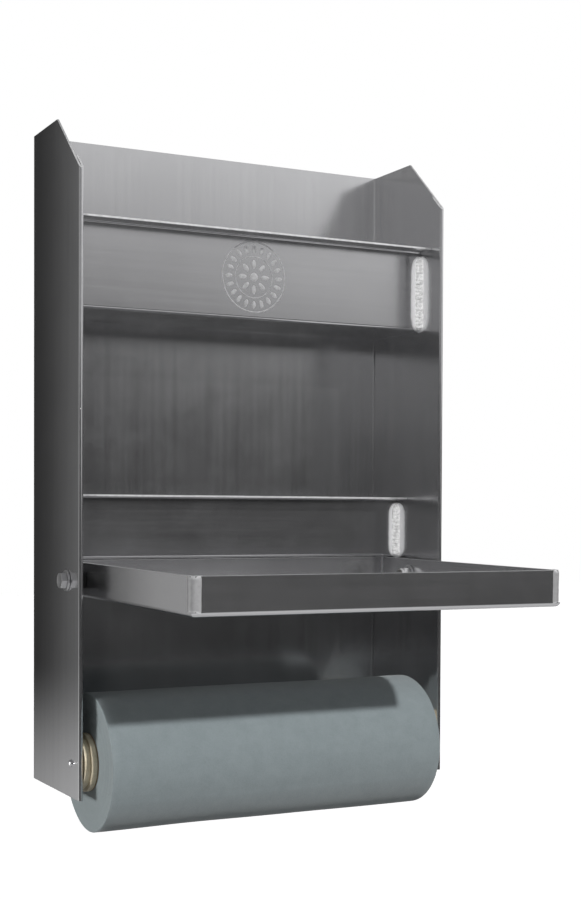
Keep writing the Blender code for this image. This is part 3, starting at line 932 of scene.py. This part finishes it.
def crowned_sections(face, outward, height, both_ends):
    """Sections of a hexagon whose corners are turned down by a chamfer, at the far end or at both."""
    corner = ACROSS_FLATS / math.sqrt(3)
    crown = 0.97 * ACROSS_FLATS / 2
    drop = (corner - ACROSS_FLATS / 2) * math.tan(CORNER_CHAMFER)
    top = []
    for share in (1.0, 0.66, 0.33, 0.0):
        top.append((face + outward * (height - drop * share), crown + (corner - crown) * share))
    if not both_ends:
        return [(face, corner)] + top
    base = [(2 * face + outward * height - x, radius) for x, radius in reversed(top)]
    return base + top


def build_bolt(side_name, side, steel):
    """A hex bolt: crowned head outside the panel, threaded end inside the tray."""
    node = "pivot_bolt_" + side_name
    head_top, tip = outer_and_inner(node, side)
    face = head_top - side * BOLT_HEAD_HEIGHT
    dish = head_top - side * BOLT_HEAD_DISH
    rings = [[Vector((face, 0, 0))]] + hex_rings(crowned_sections(face, side, BOLT_HEAD_HEIGHT, False))
    rings.append([Vector((dish, point.y * DISH_SHARE, point.z * DISH_SHARE)) for point in rings[-1]])
    rings.append([Vector((dish, 0, 0))])
    made = ring_mesh(rings)
    merge_into(made, threaded_shank(face, tip, side))
    piece("hex_bolt_" + side_name, made, steel, "cabinet", [node], bolt_matrix, sharp=28)


def threaded_shank(face, tip, side):
    """A shank with a rolled thread on the part that can be seen and a chamfered tip."""
    root = face + side * MM
    start = tip + side * THREAD_LENGTH
    rings = [circle_ring(root, 0, THREAD_SEGMENTS)]
    rings += [circle_ring(x, BOLT_RADIUS, THREAD_SEGMENTS) for x in (root, start)]
    steps = int(THREAD_LENGTH / THREAD_PITCH * THREAD_STEPS_PER_TURN)
    for step in range(1, steps + 1):
        x = start - side * THREAD_LENGTH * step / steps
        turns = step / THREAD_STEPS_PER_TURN
        most = BOLT_RADIUS - TIP_CHAMFER + abs(x - tip)
        rings.append(turned_ring(x, THREAD_SEGMENTS, lambda angle: min(thread_radius(turns, angle), most)))
    rings.append(circle_ring(tip, 0, THREAD_SEGMENTS))
    return ring_mesh(rings)


def thread_radius(turns, angle):
    """The radius of a V-shaped thread at an angle, so many turns along it."""
    tooth = abs(2 * ((turns + angle / math.tau) % 1) - 1)
    return BOLT_RADIUS - THREAD_DEPTH * tooth


def build_nut(side_name, side, steel):
    """A lock nut: a chamfered hexagon with the round collar that holds its nylon ring."""
    node = "lock_nut_" + side_name
    face, _ = outer_and_inner(node, side)
    rings = hex_rings(crowned_sections(face, -side, NUT_HEX_HEIGHT, True))
    for inwards, radius in NUT_COLLAR:
        rings.append(circle_ring(face - side * inwards * MM, radius * MM, HEX_SEGMENTS))
    piece("nut_" + side_name, ring_mesh(rings, closing=True), steel, "cabinet", [node], bolt_matrix, sharp=28)


def build_hardware(shaded_dull_steel, steel, black, nylon):
    """What carries the tray at each side; a ring is (name, CAD node, bore, edge radius, material)."""
    for side_name, side in SIDES:
        # Outside the panel, the darker copy of the zinc plating stands for painted shade. Inside, the lighter
        # copy stands for painted light.
        build_bolt(side_name, side, shaded_dull_steel)
        build_nut(side_name, side, steel)
        hole = BOLT_HOLE_RADIUS
        rings = (
            ("flat_outer_washer_", "outer_washer_", hole, 0.35 * MM, shaded_dull_steel),
            ("flat_inner_washer_", "inner_washer_", hole, 0.35 * MM, steel),
            ("bush_", "pivot_spacer_", hole, 0.5 * MM, black),
            ("nylon_ring_", "nut_insert_", hole - 0.2 * MM, 0.3 * MM, nylon),
        )
        for name, node, bore, edge, material in rings:
            build_ring(name + side_name, node + side_name, bore, edge, material)


# ---------------- towel rod and roll


def rod_body(side):
    """The left end of the rod turns with the roll, and the right end also slides."""
    return "towel_roll" if side < 0 else "rod_plunger"


def build_hub(side_name, side, plastic):
    """A moulded end: a flange, a collar that stops the core, and a spigot inside it."""
    node = "rod_hub_" + side_name
    outer_face, _ = outer_and_inner(node, side)
    section = [(outer_face - side * inwards * MM, radius * MM) for inwards, radius in HUB_SECTION]
    made = lathe(fillet(section, HUB_EDGE_ROUND, 3, closed=True), 96, rod_axis)
    piece("moulded_hub_" + side_name, made, plastic, rod_body(side), [node], sharp=40)


def build_pin(side_name, side, steel):
    """A polished pin: a domed end that shows outside the panel, and a head inside the hub."""
    node = "rod_pin_" + side_name
    tip, root = outer_and_inner(node, side)
    profile = [(tip, 0)]
    for angle in quarter_turn(8)[1:]:
        profile.append((tip - side * PIN_DOME * (1 - math.cos(angle)), PIN_RADIUS * math.sin(angle)))
    profile.append((root + side * 1.9 * MM, PIN_RADIUS))
    for from_root, radius in ((1.6, 5.7), (0.3, 6.0), (0.0, 5.7), (0.0, 0.0)):
        profile.append((root + side * from_root * MM, radius * MM))
    made = lathe(profile, 48, rod_axis)
    piece("domed_pin_" + side_name, made, steel, rod_body(side), [node])


def build_spring(material):
    """The coil inside the rod that pushes the plunger out."""
    low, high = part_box("rod_spring")
    wire = SPRING_WIRE_RADIUS
    length = high.x - low.x - 2 * wire
    coil_radius = (high.z - low.z) / 2 - wire
    steps = SPRING_TURNS * SPRING_STEPS_PER_TURN
    rings = []
    for step in range(steps + 1):
        angle = math.tau * step / SPRING_STEPS_PER_TURN
        along = low.x + wire + length * step / steps
        ring = []
        for side in range(SPRING_WIRE_SIDES):
            turn = math.tau * side / SPRING_WIRE_SIDES
            radius = coil_radius + wire * math.cos(turn)
            place = Vector((along + wire * math.sin(turn), rod.y, rod.z))
            ring.append(place + Vector((0, radius * math.cos(angle), radius * math.sin(angle))))
        rings.append(ring)
    coil = piece("coiled_spring", ring_mesh(rings), material, "towel_roll", ["rod_spring"], sharp=80)
    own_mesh(coil)


def build_core(material):
    low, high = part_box("cardboard_core")
    profile = ring_profile(low.x, high.x, CORE_INNER_RADIUS, CORE_OUTER_RADIUS, 0.35 * MM)
    made = lathe(profile, 96, rod_axis)
    piece("wound_core", made, material, "towel_roll", ["cardboard_core"])


def roll_radius(base, angle, share):
    """The roll's outer radius: slow dents, a squeeze near the ends and the step of the loose end."""
    tail = TAIL_THICKNESS * (1 - (angle - TAIL_ANGLE) % math.tau / math.tau)
    dents = 0.22 * math.sin(2 * angle + 5 * share) + 0.16 * math.sin(3 * angle - 9 * share + 1.0)
    dents += 0.12 * math.sin(11 * share + 4 * math.sin(angle)) + 0.08 * math.sin(7 * angle + 17 * share)
    return base - 0.5 * MM + tail + dents * MM


def end_section():
    """One end as (depth inwards, share of the way out to the rim, drop below the rim's full radius)."""
    chance = random.Random(11)
    section = []
    for index in range(LAYER_RINGS):
        share = index / LAYER_RINGS
        dish = 0.5 * MM * math.sin(math.pi * share)
        section.append((0.25 * MM + dish + chance.uniform(0, 0.45) * MM, share, 0))
    for step in range(RIM_STEPS):
        angle = math.pi / 2 * (1 - step / RIM_STEPS)
        section.append((RIM_ROUND * (1 - math.sin(angle)), 1, RIM_ROUND * (1 - math.cos(angle))))
    return section


def roll_ring_radius(outer, along_share, out_share, drop):
    """The radius by angle of one ring of the roll: within an end face, or at the rim and beyond."""
    def radius_at(angle):
        rim = roll_radius(outer, angle, along_share)
        if out_share == 1:
            return rim - drop
        return ROLL_BORE_RADIUS + (rim - RIM_ROUND - ROLL_BORE_RADIUS) * out_share
    return radius_at


def build_roll(side_paper, end_paper):
    """The wound towel: a soft-edged cylinder with a loose end, and ends that show uneven layers."""
    low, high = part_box("paper_towel_roll")
    outer = (high.z - low.z) / 2
    length = high.x - low.x
    near_end = end_section()
    middle = []
    for step in range(1, ROLL_STEPS_ALONG):
        middle.append((RIM_ROUND + (length - 2 * RIM_ROUND) * step / ROLL_STEPS_ALONG, 1, 0))
    far_end = [(length - depth, share, drop) for depth, share, drop in reversed(near_end)]
    rings = []
    for along, share, drop in near_end + middle + far_end:
        radius_at = roll_ring_radius(outer, along / length, share, drop)
        rings.append(turned_ring(low.x + along, ROLL_STEPS_ROUND, radius_at))
    made = ring_mesh(rings, closing=True)
    bmesh.ops.translate(made, verts=made.verts, vec=rod_axis)
    roll = piece("wound_towel", made, side_paper, "towel_roll", ["paper_towel_roll"], sharp=75)
    mark_faces(roll, end_paper, lambda face: abs(face.normal.x) > 0.75)


# ---------------- stage, light and camera


def elevation_ramp(nodes, height, stops):
    """Brightness by the height of a direction: stops are (degrees above the horizon, level)."""
    ramp = nodes.add("ValToRGB", height)
    elements = ramp.color_ramp.elements
    while len(elements) < len(stops):
        elements.new(0.5)
    for element, (degrees, level) in zip(elements, stops):
        element.position = 0.5 + 0.5 * math.sin(math.radians(degrees))
        element.color = (level, level, level * 1.01, 1.0)
    return ramp.outputs[0]


def reflected_studio(nodes, x, z):
    """What the metal reflects: three studios side by side that blend into each other."""
    height = nodes.math("MULTIPLY_ADD", z, 0.5, 0.5)
    colour = elevation_ramp(nodes, height, LEFT_STUDIO)
    for angles, stops in ((LEFT_TO_MIDDLE, MIDDLE_STUDIO), (MIDDLE_TO_RIGHT, RIGHT_STUDIO)):
        start, end = [math.sin(math.radians(angle)) for angle in angles]
        share = nodes.spread(x, start, end, smooth=True)
        colour = nodes.blend(share, colour, elevation_ramp(nodes, height, stops))
    return nodes.add("Background", colour).outputs[0]


def build_world():
    """White behind the object; in reflections a studio that is dark low down and bright up to the right."""
    world = bpy.data.worlds.new("studio")
    bpy.context.scene.world = world
    world.use_nodes = True
    nodes = Nodes(world.node_tree)
    direction = nodes.add("TexCoord").outputs["Generated"]
    x, _, z = nodes.add("SeparateXYZ", direction).outputs
    plain = [nodes.add("Background", (1.0, 1.0, 1.0), level).outputs[0] for level in WORLD_LEVELS]
    white, sky, ground = plain
    soft = nodes.add("MixShader", nodes.math("LESS_THAN", z, 0.0), sky, ground).outputs[0]
    rays = nodes.add("LightPath").outputs
    indirect = nodes.add("MixShader", rays["Is Glossy Ray"], soft, reflected_studio(nodes, x, z)).outputs[0]
    final = nodes.add("MixShader", rays["Is Camera Ray"], indirect, white).outputs[0]
    nodes.add("OutputWorld", final)


def build_floor():
    corners = rectangle(-FLOOR_REACH, -FLOOR_REACH, FLOOR_REACH, FLOOR_REACH)
    made = flat_face([(x, y, cad_low.z - FLOOR_DROP) for x, y in corners])
    shader = Shader("pale_floor")
    mottle = shader.noise(3.0, detail=3.0)
    pale = shader.complete(
        Base_Color=shader.blend(mottle, (0.88, 0.88, 0.88), (0.91, 0.91, 0.91)), Roughness=0.9,
        Specular_IOR_Level=0.1, Emission_Color=(1.0, 1.0, 1.0), Emission_Strength=0.42,
    )
    floor = to_object("floor", made, pale)
    floor.visible_glossy = False
    floor.visible_diffuse = False


def build_side_card():
    """A glowing card in the wall's plane beside the cabinet, seen only in reflections.

    Its glow is a painted reflection of a wall: a painted shadow of the cabinet beside it, a painted lit wall
    further out, and painted light that brightens it low down.
    """
    inner, outer = -half_width - 1 * MM, -half_width - CARD_REACH
    corners = rectangle(outer, -CARD_HALF_HEIGHT, inner, CARD_HALF_HEIGHT)
    made = flat_face([(x, 4 * MM, z) for x, z in corners])
    shader = Shader("glowing_side_card")
    x, _, z = shader.axes()
    away = shader.math("SUBTRACT", inner, x)
    # The emission is painted light: near is a painted shadow of the cabinet on the wall, far a painted lit
    # wall, and low_glow painted light that brightens the wall low down.
    close = shader.spread(away, 0.0, 0.034)
    near = shader.math("MULTIPLY_ADD", shader.math("POWER", close, 2.0), 0.076, 0.033)
    far = shader.spread(away, 0.040, 0.085, 0.0, 0.24, smooth=True)
    low_glow = shader.spread(z, -0.285, -0.16, 0.30, 0.0, smooth=True)
    glowing = shader.complete(
        Base_Color=(0.0, 0.0, 0.0), Roughness=1.0, Specular_IOR_Level=0.0,
        Emission_Color=(1.0, 1.0, 1.0), Emission_Strength=shader.total(near, far, low_glow),
    )
    card = to_object("glowing_side_card", made, glowing)
    card.visible_camera = False
    card.visible_diffuse = False
    card.visible_shadow = False


def add_sun(name, azimuth, elevation, strength, angle, lit=(), mirrored=False):
    """A distant lamp; azimuth is to the right of straight ahead of the cabinet.

    When piece names are given in lit, the lamp lights only those. Metal shows it only when mirrored is set.
    """
    lamp = bpy.data.lights.new(name, "SUN")
    lamp.energy = strength
    lamp.angle = math.radians(angle)
    a, e = math.radians(azimuth), math.radians(elevation)
    towards = Vector((math.sin(a) * math.cos(e), -math.cos(a) * math.cos(e), math.sin(e)))
    obj = add_object(name, lamp)
    obj.rotation_mode = "QUATERNION"
    obj.rotation_quaternion = towards.to_track_quat("Z", "Y")
    obj.visible_glossy = mirrored
    if lit:
        receivers = bpy.data.collections.new(name + "_lit")
        for piece_name in lit:
            receivers.objects.link(bpy.data.objects[piece_name])
        obj.light_linking.receiver_collection = receivers


def build_lights():
    """A hard key from the upper right and two fills, one for the rod's end and one for the sheet."""
    add_sun("key_light", 17.0, 30.5, 3.0, 2.2)
    rod_end = ["wound_towel", "moulded_hub_left", "wound_core", "domed_pin_left"]
    add_sun("left_fill", -88, -2, 3.8, 24, rod_end, mirrored=True)
    sheet_and_beads = ["bent_shell"]
    for bin_name in BINS:
        sheet_and_beads.append("bent_" + bin_name)
        sheet_and_beads += [f"rippled_{bin_name}_weld_{side_name}" for side_name, _ in SIDES]
    add_sun("front_fill", -30, 10, 2.4, 8, sheet_and_beads)


def build_camera():
    """A turned camera whose lens is shifted, so that upright edges stay nearly upright."""
    forward = Vector((
        math.sin(CAMERA_YAW) * math.cos(CAMERA_PITCH),
        math.cos(CAMERA_YAW) * math.cos(CAMERA_PITCH),
        math.sin(CAMERA_PITCH),
    ))
    level = Vector((math.cos(CAMERA_YAW), -math.sin(CAMERA_YAW), 0))
    up = level.cross(forward)
    right = level * math.cos(CAMERA_ROLL) + up * math.sin(CAMERA_ROLL)
    up = right.cross(forward)
    lens = bpy.data.cameras.new("camera")
    lens.sensor_width = SENSOR_MM
    lens.lens = LENS_MM
    lens.shift_x, lens.shift_y = LENS_SHIFT
    camera = add_object("camera", lens)
    rotation = Matrix((right, up, -forward)).transposed().to_4x4()
    camera.matrix_world = Matrix.Translation(CAMERA_PLACE) @ rotation
    bpy.context.scene.camera = camera


# ---------------- build


def build_object():
    zones = bead_zones()
    upright = sheet_aluminium("sheet_upright_grain", "z", CABINET_MIRROR, zones)
    crosswise = sheet_aluminium("sheet_cross_grain", "x", CABINET_MIRROR, zones)
    tray_sheet = sheet_aluminium("sheet_tray_grain", "x", TRAY_MIRROR)
    bead = frosted_aluminium("bright_weld", 0.24, (0.98, 0.98, 0.98), 0.3, 0.7)
    dressed = frosted_aluminium("dressed_weld", 0.34, (0.92, 0.92, 0.93), 0.72, 0.9)
    relief = frosted_aluminium("stamped_relief", 0.45, (0.93, 0.93, 0.94), 0.77, 0.8)
    edge = frosted_aluminium("sheared_edge", 0.38, (0.94, 0.94, 0.95), 0.7, 0.8)
    # Two copies of one zinc plating. The darker, rougher copy on the bolts and outer washers is painted shade
    # for the cabinet's outside. The lighter copy on the nuts and inner washers is painted light.
    shaded_dull_steel = plated_steel("dull_zinc_painted_shade", (0.72, 0.72, 0.73), 0.34)
    steel = plated_steel("zinc_plate", (0.90, 0.90, 0.91), 0.24, 0.6)
    polished = plated_steel("polished_pin", (0.85, 0.85, 0.87), 0.14)
    black = moulded_plastic("black_nylon_bush", (0.015, 0.015, 0.015), (0.03, 0.03, 0.03), 0.5, 0.1)
    nylon = moulded_plastic("natural_nylon_ring", (0.62, 0.60, 0.52), (0.72, 0.70, 0.62), 0.45, 0.2)
    almond = moulded_plastic("almond_hub", (0.56, 0.49, 0.35), (0.66, 0.59, 0.45), 0.45, 0.4)
    build_shell(upright, edge)
    for bin_name in BINS:
        build_bin(bin_name, crosswise, edge)
    for bin_name in BINS:
        for side_name, side in SIDES:
            build_bead(bin_name, side_name, side, bead)
    build_roundel(relief)
    build_tray(tray_sheet, edge)
    for corner in tray_corners():
        build_corner_weld(*corner, dressed)
    build_hardware(shaded_dull_steel, steel, black, nylon)
    for side_name, side in SIDES:
        build_hub(side_name, side, almond)
        build_pin(side_name, side, polished)
    build_core(cardboard())
    build_roll(towel_paper("towel_side", False), towel_paper("towel_end", True))
    for node in ("rod_outer_tube", "rod_inner_tube"):
        frame["nodes"][node].data.materials[0] = almond
    build_spring(plated_steel("spring_wire", (0.45, 0.45, 0.47), 0.3))


build_object()
build_world()
build_floor()
build_side_card()
build_lights()
build_camera()
bpy.context.scene.view_settings.view_transform = "Standard"
